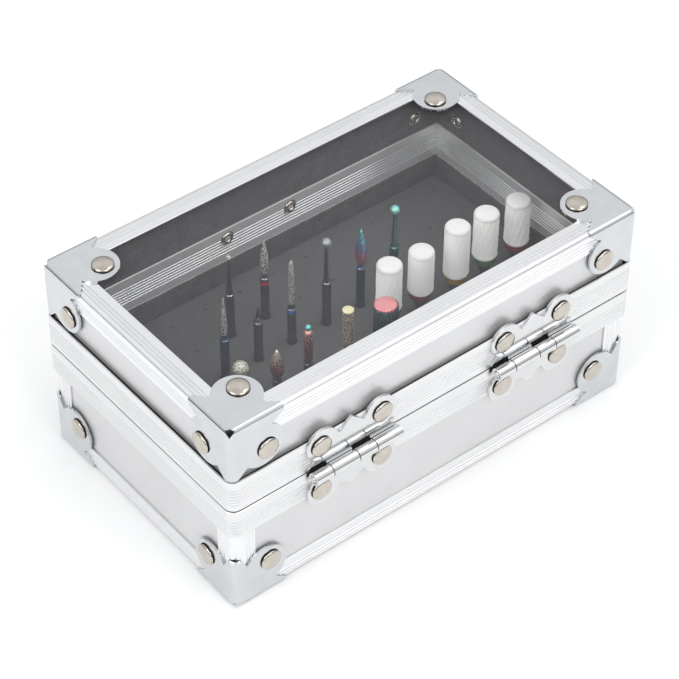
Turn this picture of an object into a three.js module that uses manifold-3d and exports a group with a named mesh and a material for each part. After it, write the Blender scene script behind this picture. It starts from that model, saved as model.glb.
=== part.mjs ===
// Small aluminium-framed storage case with a clear lid window and rows of rotary nail bits inside.
// Millimetres, +Z up. The origin is under the middle of the case, on the surface that it stands on.
// +Y is the back, with the hinges, -Y the front, with the latch. Left is -X, as seen from the front.
import * as THREE from 'three';
import { mergeVertices } from 'three/addons/utils/BufferGeometryUtils.js';
import Module from 'manifold-3d';

const wasm = await Module();
wasm.setup();

// ---- driving dimensions ------------------------------------------------------------------------
const HALF_X = 63;            // to the outer face of the corner caps
const HALF_Y = 37.7;
const HEIGHT = 59.4;
const PARTING = 33.5;         // height at which lid and base meet
const PARTING_GAP = 0.2;
const SHEET = 0.6;            // corner cap sheet
const EDGE_WALL = 0.5;        // wall of the angle extrusions
const EDGE_SIDE = 7.1;        // their flange on the side walls
const EDGE_FLAT = 5.85;       // their flange on the top and the bottom
const EDGE_ROUND = 1.5;       // their outer corner
const BOARD = 1.4;            // wall boards
const RIM_PROUD = 0.3;        // how far the rims stand out beyond the caps
const RIM_DEPTH = 3.7;        // rim, outer face to inner face
const LID_RIM_TOP = 43.7;
const BASE_RIM_BOTTOM = 25.5;
const RIM_SLOT = 3;           // depth of the slot that holds the boards
const WINDOW = 1.4;
const LINING = 0.5;
const FOAM_TOP = 26.5;
const FIT = 0.05;             // gap between parts that touch

const RIVET_R = 2.85;
const RIVET_H = 1.15;

// Hinges: barrel axis at AXIS_Y, AXIS_Z. Two hinges stand HINGE_X either side of the middle.
const LEAF = 0.8;
const RIM_FACE = HALF_Y + RIM_PROUD;
const BARREL_R = 1.7;
const PIN_R = 0.8;
const PIN_FIT = 0.1;          // radial gap round the pins
const AXIS_Y = RIM_FACE + 2.8;
const AXIS_Z = PARTING;
const HINGE_X = 28.4;
const LEAF_HALF = 13.2;
const KNUCKLES = [13.2, 8.0, 0.2, -5.2, -13.2];   // cuts along the barrel, hinge centre at 0
const KNUCKLE_GAP = 0.15;

// Latch on the front wall: a hasp hangs from a plate on the lid and snaps over a stud on the base.
// At rest it hangs HASP_TILT clear of the stud. Distances are out from the rim face.
const HASP_OUT = 2.2;
const HASP_Z = 35.2;
const HASP_BARREL = 1.3;
const HASP_PIN = 0.6;
const HASP_HALF = 6.5;
const HASP_SHEET = 0.7;
const HASP_LENGTH = 17.3;
const HASP_LIP = 0.744;
const HASP_TILT = 6.5 * Math.PI / 180;
const HASP_CUTS = [8.8, 5.2];  // barrel ends and cuts, either side of the middle
const STUD_Z = 26;
const STUD_R = 1.6;
const STUD_OUT = 1.95;

// Bit holes: 11 columns by 6 rows.
const PITCH_X = 10.9;
const PITCH_Y = 11.5;
const COLUMNS = 11;
const ROWS = 6;
const SHANK_R = 1.175;
const SHANK_FOOT = 3.2;

// ---- materials -----------------------------------------------------------------------------------
const finish = (color, roughness, metalness) => () =>
  new THREE.MeshStandardMaterial({ color, roughness, metalness });
const anodised = finish(0xdfe1e2, 0.38, 1);
const boardSkin = finish(0xdcdee2, 0.45, 0.9);
const chromed = finish(0xd4d8da, 0.12, 1);
const foamGrey = finish(0x4a4a4e, 0.95, 0);
const liningGrey = finish(0x3c3c40, 0.95, 0);
const clearSheet = () => new THREE.MeshStandardMaterial({
  color: 0xf2f6f8, roughness: 0.05, metalness: 0, transparent: true, opacity: 0.25,
});

// ---- solids --------------------------------------------------------------------------------------
const object = new THREE.Group();

function toManifold(geometry) {
  const bare = geometry.clone();
  bare.deleteAttribute('normal');
  bare.deleteAttribute('uv');
  const merged = mergeVertices(bare, 1e-4);
  return new wasm.Manifold(new wasm.Mesh({
    numProp: 3,
    vertProperties: new Float32Array(merged.attributes.position.array),
    triVerts: new Uint32Array(merged.index.array),
  }));
}

function fromManifold(solid) {
  const mesh = solid.getMesh();
  const geometry = new THREE.BufferGeometry();
  geometry.setAttribute('position', new THREE.BufferAttribute(mesh.vertProperties, 3));
  geometry.setIndex(new THREE.BufferAttribute(mesh.triVerts, 1));
  return geometry;
}

function join(geometries) {
  return fromManifold(geometries.map(toManifold).reduce((all, next) => all.add(next)));
}

function cut(geometry, tools) {
  const solids = tools.map(toManifold);
  return fromManifold(solids.reduce((rest, tool) => rest.subtract(tool), toManifold(geometry)));
}

function plateFrom(outline, depth, curveSegments = 6) {
  return new THREE.ExtrudeGeometry(outline, { depth, bevelEnabled: false, curveSegments });
}

function add(name, geometry, material) {
  geometry.computeVertexNormals();
  const mesh = new THREE.Mesh(geometry, material());
  mesh.name = name;
  object.add(mesh);
  return mesh;
}

// A box from its lowest to its highest corner.
function block(low, high) {
  const size = high.map((v, i) => v - low[i]);
  return new THREE.BoxGeometry(...size).translate(...high.map((v, i) => (v + low[i]) / 2));
}

// A cylinder along X between two x values, round the line at (y, z).
function rod(x0, x1, y, z, radius, sides = 12) {
  return new THREE.CylinderGeometry(radius, radius, Math.abs(x1 - x0), sides)
    .rotateZ(Math.PI / 2).translate((x0 + x1) / 2, y, z);
}

// Points [inset, z] of a profile, inset measured inwards from the outer planes of the case.
function cornerPoint([inset, z], signX, signY) {
  return [signX * (HALF_X - inset), signY * (HALF_Y - inset), z];
}

// One closed ring that follows the case wall: the profile carried round four mitred corners.
function wallRing(profile) {
  const corners = [[1, 1], [-1, 1], [-1, -1], [1, -1]];
  const positions = corners.flatMap(([sx, sy]) => profile.flatMap((p) => cornerPoint(p, sx, sy)));
  const n = profile.length;
  const index = [];
  for (let c = 0; c < 4; c += 1) {
    for (let i = 0; i < n; i += 1) {
      const a = c * n + i;
      const b = c * n + (i + 1) % n;
      const d = ((c + 1) % 4) * n + i;
      const e = ((c + 1) % 4) * n + (i + 1) % n;
      index.push(a, b, e, a, e, d);
    }
  }
  return facingOut(positions, index);
}

// The two corners at the ends of each side.
const SIDE_ENDS = {
  back: [[1, 1], [-1, 1]],
  front: [[-1, -1], [1, -1]],
  left: [[-1, 1], [-1, -1]],
  right: [[1, -1], [1, 1]],
};
const SIDES = Object.keys(SIDE_ENDS);

// One length of the same profile along a single side, its ends cut at 45 degrees.
function wallLength(profile, side) {
  const n = profile.length;
  const positions = SIDE_ENDS[side].flatMap(([sx, sy]) => profile.flatMap((p) => {
    const point = cornerPoint(p, sx, sy);
    const along = side === 'back' || side === 'front' ? 0 : 1;
    point[along] -= Math.sign(point[along]) * FIT;
    return point;
  }));
  const index = [];
  for (let i = 0; i < n; i += 1) {
    const j = (i + 1) % n;
    index.push(i, j, n + j, i, n + j, n + i);
  }
  const outline = profile.map(([inset, z]) => new THREE.Vector2(inset, z));
  const turn = (a, b, c) => THREE.ShapeUtils.area([a, b, c].map((k) => outline[k]));
  const clockwise = THREE.ShapeUtils.area(outline) < 0;
  for (const [a, b, c] of THREE.ShapeUtils.triangulateShape(outline, [])) {
    const [p, q] = (turn(a, b, c) < 0) === clockwise ? [b, c] : [c, b];
    index.push(a, q, p, n + a, n + p, n + q);
  }
  return facingOut(positions, index);
}

function signedVolume(positions, index) {
  let volume = 0;
  for (let t = 0; t < index.length; t += 3) {
    const [a, b, c] = [0, 1, 2].map((k) => new THREE.Vector3().fromArray(positions, index[t + k] * 3));
    volume += a.dot(b.cross(c)) / 6;
  }
  return volume;
}

function facingOut(positions, index) {
  const geometry = new THREE.BufferGeometry();
  geometry.setAttribute('position', new THREE.Float32BufferAttribute(positions, 3));
  geometry.setIndex(signedVolume(positions, index) < 0 ? index.slice().reverse() : index);
  return geometry;
}

// ---- frame extrusions, boards, rims ----------------------------------------------------------------
const EDGE_IN = SHEET + EDGE_WALL;            // inner face of the extrusion wall
const EDGE_FILLET = 1;                        // in the inner corner of the extrusion
const BOARD_OUT = EDGE_IN + FIT;              // board, outer face
const BOARD_IN = BOARD_OUT + BOARD;

// Angle extrusion round the top edge; the bottom one is the same, turned over.
function edgeProfile(flip) {
  const place = (z) => (flip ? z : HEIGHT - z);
  const arc = [0, 1, 2, 3, 4].map((k) => {
    const turn = k * Math.PI / 8;
    return [SHEET + EDGE_ROUND * (1 - Math.cos(turn)), SHEET + EDGE_ROUND * (1 - Math.sin(turn))];
  });
  const points = [
    [EDGE_IN, SHEET + EDGE_SIDE], [SHEET, SHEET + EDGE_SIDE], ...arc,
    [SHEET + EDGE_FLAT, SHEET], [SHEET + EDGE_FLAT, EDGE_IN],
    [EDGE_IN + EDGE_FILLET, EDGE_IN], [EDGE_IN, EDGE_IN + EDGE_FILLET],
  ];
  return points.map(([inset, z]) => [inset, place(z)]);
}

for (const side of SIDES) {
  add(`lid_edge_${side}`, wallLength(edgeProfile(false), side), anodised);
  add(`base_edge_${side}`, wallLength(edgeProfile(true), side), anodised);
}

// Boards: they stop short of the corners, which the caps and the corner posts close.
function board(side, low, high) {
  const longX = HALF_X - BOARD_IN - FIT;
  const shortY = HALF_Y - BOARD_IN - FIT;
  const near = HALF_Y - BOARD_IN;
  const far = HALF_Y - BOARD_OUT;
  if (side === 'back') return block([-longX, near, low], [longX, far, high]);
  if (side === 'front') return block([-longX, -far, low], [longX, -near, high]);
  const inner = HALF_X - BOARD_IN;
  const outer = HALF_X - BOARD_OUT;
  if (side === 'right') return block([inner, -shortY, low], [outer, shortY, high]);
  return block([-outer, -shortY, low], [-inner, shortY, high]);
}

const BOARD_FOOT = EDGE_IN + EDGE_FILLET + FIT;
const BOARD_TOP = HEIGHT - BOARD_FOOT;
for (const side of SIDES) {
  add(`lid_board_${side}`, board(side, LID_RIM_TOP - RIM_SLOT, BOARD_TOP), boardSkin);
  add(`base_board_${side}`, board(side, BOARD_FOOT, BASE_RIM_BOTTOM + RIM_SLOT), boardSkin);
}

// Rims: one bent length each, with a slot that takes the board edges.
const RIM_OUT = -RIM_PROUD;
const RIM_IN = RIM_DEPTH - RIM_PROUD;
function rimProfile(meeting, back, slotEnd) {
  return [
    [RIM_OUT, meeting], [RIM_OUT, back], [BOARD_OUT - FIT, back], [BOARD_OUT - FIT, slotEnd],
    [BOARD_IN + FIT, slotEnd], [BOARD_IN + FIT, back], [RIM_IN, back], [RIM_IN, meeting],
  ];
}

const SLOT_DEPTH = RIM_SLOT + FIT;
const LID_MEETING = PARTING + PARTING_GAP / 2;
const BASE_MEETING = PARTING - PARTING_GAP / 2;
const lidRim = rimProfile(LID_MEETING, LID_RIM_TOP, LID_RIM_TOP - SLOT_DEPTH);
const baseRim = rimProfile(BASE_MEETING, BASE_RIM_BOTTOM, BASE_RIM_BOTTOM + SLOT_DEPTH);
add('lid_rim', wallRing(lidRim), anodised);
add('base_rim', wallRing(baseRim), anodised);

// Vertical corner angles of the base, between the bottom caps and the base rim.
const POST_FLANGE = 7;
const POST_ROUND = 2.4;       // outer corner
const POST_BEVEL = 1.4;       // inner corner

function cornerPost(signX, signY) {
  const steps = 5;
  const inner = EDGE_IN + POST_BEVEL;
  const outline = new THREE.Shape();
  outline.moveTo(POST_FLANGE, SHEET);
  for (let k = 0; k <= steps; k += 1) {
    const turn = Math.PI / 2 * (k / steps);
    const [x, y] = [1 - Math.sin(turn), 1 - Math.cos(turn)].map((share) => SHEET + POST_ROUND * share);
    outline.lineTo(x, y);
  }
  outline.lineTo(SHEET, POST_FLANGE);
  outline.lineTo(EDGE_IN, POST_FLANGE);
  outline.lineTo(EDGE_IN, inner);
  outline.lineTo(inner, EDGE_IN);
  outline.lineTo(POST_FLANGE, EDGE_IN);
  outline.closePath();
  const low = SHEET + EDGE_SIDE + FIT;
  const post = plateFrom(outline, BASE_RIM_BOTTOM - FIT - low);
  return towardsCorner(post, signX, signY).translate(0, 0, low);
}

// Moves a piece drawn at (0, 0), growing towards +X and +Y, to a corner, growing inwards from it.
function towardsCorner(geometry, signX, signY) {
  const turned = geometry.clone();
  const position = turned.attributes.position;
  for (let i = 0; i < position.count; i += 1) {
    position.setX(i, signX * (HALF_X - position.getX(i)));
    position.setY(i, signY * (HALF_Y - position.getY(i)));
  }
  return signX * signY < 0 ? flipped(turned) : turned;
}

function flipped(geometry) {
  const merged = mergeVertices(geometry, 1e-4);
  merged.setIndex(Array.from(merged.index.array).reverse());
  return merged;
}

const CORNERS = {
  back_left: [-1, 1],
  back_right: [1, 1],
  front_left: [-1, -1],
  front_right: [1, -1],
};

for (const [name, [sx, sy]] of Object.entries(CORNERS)) {
  add(`corner_post_${name}`, cornerPost(sx, sy), anodised);
}

// ---- corner caps -----------------------------------------------------------------------------------
// A cap is one lobed leaf on each of the three faces that meet at a corner, with a rivet in each lobe.
const LOBE_C = 9.4;           // lobe centre, from both edges
const LOBE_R = 6.1;
const CAP_REACH = 15.6;       // how far the cap runs along each edge
const CAP_TIP = 1.4;          // its width there
const CAP_NOTCH = [12.4, 3.4];   // bottom of the V between the lobe and the edge
const RIVET_C = 10.8;         // rivet, from both edges

function capLeaf() {
  const outline = new THREE.Shape();
  const start = Math.atan2(CAP_NOTCH[1] - LOBE_C, CAP_NOTCH[0] - LOBE_C);
  const end = Math.PI / 2 - start;
  outline.moveTo(0, 0);
  outline.lineTo(CAP_REACH, 0);
  outline.lineTo(CAP_REACH, CAP_TIP);
  outline.absarc(LOBE_C, LOBE_C, LOBE_R, start, end, false);
  outline.lineTo(CAP_TIP, CAP_REACH);
  outline.lineTo(0, CAP_REACH);
  outline.closePath();
  return plateFrom(outline, SHEET, 8).translate(0, 0, -SHEET);
}

// Domed rivet head standing on z = 0, with a foot that sinks into the sheet under it.
function rivetHead() {
  const steps = 3;
  const foot = -0.3;
  const rim = 0.25;           // height of the straight edge, as a share of the head's
  const profile = [new THREE.Vector2(0, foot), new THREE.Vector2(RIVET_R, foot)];
  for (let k = 0; k <= steps; k += 1) {
    const turn = k / steps * Math.PI / 2;
    const radius = k === steps ? 0 : RIVET_R * Math.cos(turn);
    profile.push(new THREE.Vector2(radius, RIVET_H * (rim + (1 - rim) * Math.sin(turn))));
  }
  return new THREE.LatheGeometry(profile, 12).rotateX(Math.PI / 2);
}

// The corner is at (0, 0, 0), the three faces look towards -X, -Y and +Z, and the cap grows inwards.
function capShell(withFaceRivet) {
  const leaf = capLeaf();
  if (withFaceRivet) return join([leaf, rivetHead().translate(RIVET_C, RIVET_C, 0)]);
  return leaf;
}

function cornerCap(signX, signY, isTop) {
  const top = capShell(isTop);
  const onY = capShell(true).rotateX(Math.PI / 2).rotateY(Math.PI / 2);
  const onX = capShell(true).rotateY(-Math.PI / 2).rotateX(-Math.PI / 2);
  const cap = join([top, onY, onX]);
  const position = cap.attributes.position;
  for (let i = 0; i < position.count; i += 1) {
    const height = position.getZ(i);
    position.setZ(i, isTop ? HEIGHT + height : -height);
  }
  return towardsCorner(isTop ? cap : flipped(cap), signX, signY);
}

for (const [name, [sx, sy]] of Object.entries(CORNERS)) {
  add(`lid_cap_${name}`, cornerCap(sx, sy, true), chromed);
  add(`base_cap_${name}`, cornerCap(sx, sy, false), chromed);
}

// ---- window, floor, linings, foam -----------------------------------------------------------------
const INNER_X = HALF_X - BOARD_IN - FIT;
const INNER_Y = HALF_Y - BOARD_IN - FIT;
const WINDOW_TOP = HEIGHT - EDGE_IN - FIT;
const WINDOW_UNDER = WINDOW_TOP - WINDOW;
const FLOOR_TOP = EDGE_IN + FIT + BOARD;
add('window', block([-INNER_X, -INNER_Y, WINDOW_UNDER], [INNER_X, INNER_Y, WINDOW_TOP]), clearSheet);
add('floor_board', block([-INNER_X, -INNER_Y, EDGE_IN + FIT], [INNER_X, INNER_Y, FLOOR_TOP]), boardSkin);

const liningRing = (outer, low, high) =>
  wallRing([[outer, low], [outer, high], [outer + LINING, high], [outer + LINING, low]]);
add('lid_lining', liningRing(BOARD_IN + FIT, LID_RIM_TOP + FIT, WINDOW_UNDER - FIT), liningGrey);
add('base_lining', liningRing(RIM_IN + FIT, FOAM_TOP + FIT, PARTING - PARTING_GAP), liningGrey);

const columnX = (column) => column * PITCH_X;
const rowY = (row) => (row - (ROWS - 1) / 2) * PITCH_Y;

// ---- bits ------------------------------------------------------------------------------------------
// A bit is turned round its own axis from [radius, z] points, its foot first.
const shank = (top) => [[0, SHANK_FOOT], [SHANK_R, SHANK_FOOT], [SHANK_R, top]];

function arcPoints(radius, centre, from, to, steps) {
  return Array.from({ length: steps + 1 }, (_, k) => {
    const turn = from + (to - from) * k / steps;
    return [radius * Math.cos(turn), centre + radius * Math.sin(turn)];
  });
}

// A ball on a thin neck.
function ballBit(centre, radius) {
  const neck = 0.45;
  const [shoulder, neckFoot] = [40.5, 44];
  const low = -Math.acos(neck / radius);
  return [...shank(shoulder), [neck, neckFoot], ...arcPoints(radius, centre, low, Math.PI / 2, 6)];
}

// A head that swells a little above its foot and then tapers to a point.
function flameBit(low, tip, radius) {
  const swell = [0.8, 1, 0.94, 0.72, 0.4];       // shares of the radius, at even heights
  const body = swell.map((share, k) => [radius * share, low + (tip - low) * k / swell.length]);
  return [...shank(low - 0.8), ...body, [0, tip]];
}

// A drum on a collar, its top edge rounded.
function barrelBit(low, top, radius, round, collar) {
  const bevel = 0.3;
  const shoulder = arcPoints(round, top - round, 0, Math.PI / 2, 3);
  return [
    ...shank(low - collar),
    [radius - 0.5, low - collar],
    [radius - bevel, low],
    [radius, low + bevel],
    ...shoulder.map(([r, z]) => [radius - round + r, z]),
    [0, top],
  ];
}

const steelBlue = finish(0x4a5262, 0.3, 1);
const silverGrit = finish(0xc4c4c0, 0.6, 0.6);
const rainbow = finish(0x5a8aa0, 0.25, 1);
const ceramic = finish(0xf4f3ef, 0.4, 0);
const goldPink = finish(0xcf9a94, 0.4, 0.8);

// name, column and row (column 0 in the middle, row 0 in front), offset along X, profile, material
const BITS = [
  ['bit_flame_grit', 1, 1, 0.4, flameBit(41.2, 52.4, 1.3), silverGrit],
  ['bit_needle', 3, 2, -0.3, flameBit(40.7, 52.8, 0.85), silverGrit],
  ['bit_taper', 1, 2, 0.8, flameBit(39.2, 53.7, 1.0), silverGrit],
  ['bit_ball_grey', 0, 2, 0.6, ballBit(53, 1.3), steelBlue],
  ['bit_flame_rainbow', -1, 2, 0.5, flameBit(40.6, 51.8, 1.5), rainbow],
  ['bit_ball_green', -2, 2, 0.5, ballBit(52.2, 1.3), rainbow],
  ['bit_ceramic_1', -1, 3, 0.8, barrelBit(31.2, 48, 3.35, 1.8, 1.7), ceramic],
  ['bit_ceramic_2', -2, 3, 1.3, barrelBit(31.2, 46.5, 3.35, 1.8, 1.7), ceramic],
  ['bit_ceramic_3', -3, 3, 0.4, barrelBit(31.4, 48.8, 3.35, 1.8, 1.7), ceramic],
  ['bit_ceramic_4', -4, 3, 1.6, barrelBit(32, 47.5, 3.35, 1.8, 1.7), ceramic],
  ['bit_ceramic_5', -5, 3, 1.6, barrelBit(30.6, 46.2, 3.35, 1.8, 1.7), ceramic],
  ['bit_ball_large', 4, 4, 0.8, ballBit(53.5, 2.05), silverGrit],
  ['bit_bullet', 3, 4, 1.1, flameBit(45.1, 53.5, 1.55), goldPink],
  ['bit_barrel_grit', 1, 4, 1.4, barrelBit(40.5, 54, 1.3, 0.2, 0.6), goldPink],
  ['bit_carbide', 0, 4, 0.5, barrelBit(37, 49.4, 3.0, 0.5, 1.2), rainbow],
];

const bitPlace = (column, row, offset) => [columnX(column) + offset, rowY(row)];

for (const [name, column, row, offset, profile, material] of BITS) {
  const outline = profile.map(([radius, z]) => new THREE.Vector2(radius < 1e-6 ? 0 : radius, z));
  const [x, y] = bitPlace(column, row, offset);
  add(name, new THREE.LatheGeometry(outline, 12).rotateX(Math.PI / 2).translate(x, y, 0), material);
}

// Foam block with a hole for every bit, and small pierced holes where no bit stands.
const SHANK_CLEARANCE = 0.35;
const PIERCED_R = 0.6;

function bitHole(x, y, radius, sides) {
  const low = FLOOR_TOP - 1;
  const high = FOAM_TOP + 1;
  return new THREE.CylinderGeometry(radius, radius, high - low, sides)
    .rotateX(Math.PI / 2).translate(x, y, (low + high) / 2);
}

function foamBlock() {
  const holes = [];
  for (let row = 0; row < ROWS; row += 1) {
    for (let k = 0; k < COLUMNS; k += 1) {
      const column = k - (COLUMNS - 1) / 2;
      const bit = BITS.find((entry) => entry[1] === column && entry[2] === row);
      const [x, y] = bitPlace(column, row, bit ? bit[3] : 0);
      holes.push(bit ? bitHole(x, y, SHANK_R + SHANK_CLEARANCE, 8) : bitHole(x, y, PIERCED_R, 5));
    }
  }
  const edge = RIM_IN + FIT;
  const halfX = HALF_X - edge;
  const halfY = HALF_Y - edge;
  return cut(block([-halfX, -halfY, FLOOR_TOP + FIT], [halfX, halfY, FOAM_TOP]), holes);
}
add('foam_block', foamBlock(), foamGrey);

// ---- hinges ------------------------------------------------------------------------------------------
const HINGE_RIVET_X = 9.2;
const HINGE_RIVET_Z = 7.2;
const LEAF_TOP = 11.8;
const LEAF_LOBE = { x: 8.7, z: 7.5, r: 4.6 };
const NECK = [0.55, 1.35];              // heights between which a knuckle joins its leaf

// Leaf outline above the parting line: two round lobes with a pointed gable between them.
function leafOutline() {
  const lobe = LEAF_LOBE;
  const low = PARTING_GAP;
  const outline = new THREE.Shape();
  outline.moveTo(-LEAF_HALF, low);
  outline.lineTo(LEAF_HALF, low);
  outline.absarc(lobe.x, lobe.z, lobe.r, -0.2, Math.PI * 0.86, false);
  outline.lineTo(0, LEAF_TOP);
  outline.absarc(-lobe.x, lobe.z, lobe.r, Math.PI * 0.14, Math.PI + 0.2, false);
  outline.closePath();
  return outline;
}

// Drawn for the upper leaf in the frame of the barrel axis, with +X along it; turned over for the lower.
function hingeLeaf(ownKnuckles) {
  const away = RIM_FACE - AXIS_Y;                 // leaf's back face, from the axis
  const plate = plateFrom(leafOutline(), LEAF);
  plate.rotateX(Math.PI / 2).translate(0, away + LEAF, 0);
  const pieces = [plate];
  for (const x of [-HINGE_RIVET_X, HINGE_RIVET_X]) {
    pieces.push(rivetHead().rotateX(-Math.PI / 2).translate(x, away + LEAF, HINGE_RIVET_Z));
  }
  for (const k of ownKnuckles) {
    const [high, low] = [KNUCKLES[k] - KNUCKLE_GAP, KNUCKLES[k + 1] + KNUCKLE_GAP];
    pieces.push(rod(low, high, 0, 0, BARREL_R));
    pieces.push(block([low, away + LEAF / 2, NECK[0]], [high, 0, NECK[1]]));
  }
  return cut(join(pieces), [rod(-LEAF_HALF - 1, LEAF_HALF + 1, 0, 0, PIN_R + PIN_FIT)]);
}

function mirrored(geometry) {
  return flipped(geometry.clone().scale(1, 1, -1));
}

for (const [name, x] of [['left', -HINGE_X], ['right', HINGE_X]]) {
  const upper = hingeLeaf([1, 3]);
  const lower = mirrored(hingeLeaf([0, 2]));
  add(`hinge_${name}_upper_leaf`, upper.translate(x, AXIS_Y, AXIS_Z), chromed);
  add(`hinge_${name}_lower_leaf`, lower.translate(x, AXIS_Y, AXIS_Z), chromed);
  add(`hinge_${name}_pin`, rod(x - LEAF_HALF, x + LEAF_HALF, AXIS_Y, AXIS_Z, PIN_R, 12), chromed);
}

// ---- latch ------------------------------------------------------------------------------------------
// Everything stands out from the front rim face, towards -Y.
const outY = (distance) => -(RIM_FACE + distance);
const LATCH_RIVET_X = 10.1;
const LATCH_RIVET_UP = 7;
const LATCH_LOBE_R = 4.2;

// A plate with a round lobe at each end, drawn above the parting line or turned over below it.
function latchPlate(below) {
  const waist = 4.5;
  const step = LATCH_RIVET_UP + LATCH_LOBE_R * 0.55;      // top of the waist between the lobes
  const outline = new THREE.Shape();
  outline.moveTo(-LATCH_RIVET_X - LATCH_LOBE_R, PARTING_GAP);
  outline.lineTo(LATCH_RIVET_X + LATCH_LOBE_R, PARTING_GAP);
  outline.absarc(LATCH_RIVET_X, LATCH_RIVET_UP, LATCH_LOBE_R, 0, Math.PI * 0.8, false);
  outline.lineTo(waist, step);
  outline.lineTo(-waist, step);
  outline.absarc(-LATCH_RIVET_X, LATCH_RIVET_UP, LATCH_LOBE_R, Math.PI * 0.2, Math.PI, false);
  outline.closePath();
  const plate = plateFrom(outline, LEAF);
  plate.rotateX(Math.PI / 2).translate(0, outY(0), 0);
  const rivets = [-LATCH_RIVET_X, LATCH_RIVET_X].map((x) =>
    rivetHead().rotateX(Math.PI / 2).translate(x, outY(LEAF), LATCH_RIVET_UP));
  return [plate, ...rivets].map((piece) => (below ? mirrored(piece) : piece).translate(0, 0, PARTING));
}

const haspRod = (x0, x1, radius) => rod(x0, x1, outY(HASP_OUT), HASP_Z, radius);
const haspBore = () => haspRod(-LEAF_HALF, LEAF_HALF, HASP_PIN + PIN_FIT);

function latchLidPlate() {
  const [end, middle] = [HASP_CUTS[0], HASP_CUTS[1] + KNUCKLE_GAP];
  const knuckles = [[-end, -middle], [middle, end]].flatMap(([x0, x1]) => [
    haspRod(x0, x1, HASP_BARREL),
    block([x0, outY(HASP_OUT), HASP_Z + 0.3], [x1, outY(LEAF / 2), HASP_Z + 1.1]),
  ]);
  return cut(join([...latchPlate(false), ...knuckles]), [haspBore()]);
}

function latchBasePlate() {
  const stud = new THREE.CylinderGeometry(STUD_R, STUD_R * 1.1, STUD_OUT - LEAF / 2, 16)
    .translate(0, outY((STUD_OUT + LEAF / 2) / 2), STUD_Z);
  return join([...latchPlate(true), stud]);
}

// Hasp: barrel, hanging plate with a square window for the stud, and a lip to lift it by.
function latchHasp() {
  const near = HASP_OUT - HASP_BARREL + 0.2;
  const far = near + HASP_SHEET;
  const foot = HASP_Z - HASP_LENGTH;
  const middle = HASP_CUTS[1] - KNUCKLE_GAP;
  const plateTop = HASP_Z - HASP_BARREL - 0.5;
  const solid = join([
    haspRod(-middle, middle, HASP_BARREL),
    block([-middle, outY(far), plateTop - 1], [middle, outY(near), HASP_Z]),
    block([-HASP_HALF, outY(far), foot], [HASP_HALF, outY(near), plateTop]),
    block([-HASP_HALF + 1.5, outY(far + HASP_LIP), foot], [HASP_HALF - 1.5, outY(near), foot + 1.1]),
  ]);
  const window = STUD_R + 0.8;
  const opened = cut(solid, [
    haspBore(),
    block([-window, outY(far + 1), STUD_Z - window], [window, outY(near - 1), STUD_Z + window]),
  ]);
  const [pivotY, pivotZ] = [outY(HASP_OUT), HASP_Z];
  return opened.translate(0, -pivotY, -pivotZ).rotateX(-HASP_TILT).translate(0, pivotY, pivotZ);
}

add('latch_lid_plate', latchLidPlate(), chromed);
add('latch_base_plate', latchBasePlate(), chromed);
add('latch_hasp', latchHasp(), chromed);
add('latch_pin', haspRod(-HASP_CUTS[0], HASP_CUTS[0], HASP_PIN), chromed);

export default object;
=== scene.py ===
"""Small aluminium-framed case with a clear lid window and rows of rotary nail bits standing in foam.

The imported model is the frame. Lengths below are millimetres unless a name says otherwise, with +Z up,
+Y towards the hinges, -Y towards the latch and +X towards the right-hand end as seen from the latch.
"""
import math
import random
from collections import Counter

import bmesh
import bpy
from mathutils import Matrix, Vector
from mathutils.geometry import delaunay_2d_cdt


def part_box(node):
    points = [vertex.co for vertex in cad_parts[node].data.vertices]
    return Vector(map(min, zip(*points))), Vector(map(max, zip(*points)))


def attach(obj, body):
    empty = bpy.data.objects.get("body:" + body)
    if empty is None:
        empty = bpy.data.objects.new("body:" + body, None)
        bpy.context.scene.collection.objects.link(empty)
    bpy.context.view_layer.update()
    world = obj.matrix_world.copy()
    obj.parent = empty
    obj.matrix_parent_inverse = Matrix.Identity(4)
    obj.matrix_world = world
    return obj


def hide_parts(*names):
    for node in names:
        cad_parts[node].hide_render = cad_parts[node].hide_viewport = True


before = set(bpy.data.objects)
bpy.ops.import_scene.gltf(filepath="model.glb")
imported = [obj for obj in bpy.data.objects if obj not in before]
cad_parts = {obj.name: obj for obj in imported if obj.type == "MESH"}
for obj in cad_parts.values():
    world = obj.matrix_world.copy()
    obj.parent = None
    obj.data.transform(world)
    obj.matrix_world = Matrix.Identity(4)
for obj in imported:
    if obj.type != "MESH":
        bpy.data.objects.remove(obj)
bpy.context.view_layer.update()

MM = 0.001
scene = bpy.context.scene
rng = random.Random(7)


# ---- sizes, read from the frame ----
def node_box(node):
    """Lowest and highest corners of a CAD node, in millimetres."""
    return [[c / MM for c in corner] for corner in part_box(node)]


SHEET = 0.6  # corner cap sheet
EDGE_WALL = 0.5  # wall of the angle extrusions
HALF_X = node_box("lid_edge_right")[1][0] + SHEET
HALF_Y, HEIGHT = [c + SHEET for c in node_box("lid_edge_back")[1][1:]]
RIM_PROUD = node_box("lid_rim")[1][0] - HALF_X
LID_MEETING, LID_INNER_TOP = [corner[2] for corner in node_box("lid_rim")]
BASE_MEETING = node_box("base_rim")[1][2]
PARTING = (LID_MEETING + BASE_MEETING) / 2
BOARD_IN, BOARD_OUT = [HALF_X - corner[0] for corner in node_box("base_board_right")]
LID_BOARD_FOOT = node_box("lid_board_back")[0][2]
BASE_BOARD_TOP = node_box("base_board_back")[1][2]
WINDOW_LOW = node_box("window")[0][2]
FOAM_LOW = node_box("foam_block")[0][2]
FOAM_HALF_X, FOAM_HALF_Y, FOAM_TOP = node_box("foam_block")[1]
RIM_INNER = HALF_X - FOAM_HALF_X - 0.05  # inset of the rims' inner face
RIM_FACE = HALF_Y + RIM_PROUD  # their outer face, from the middle plane

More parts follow.
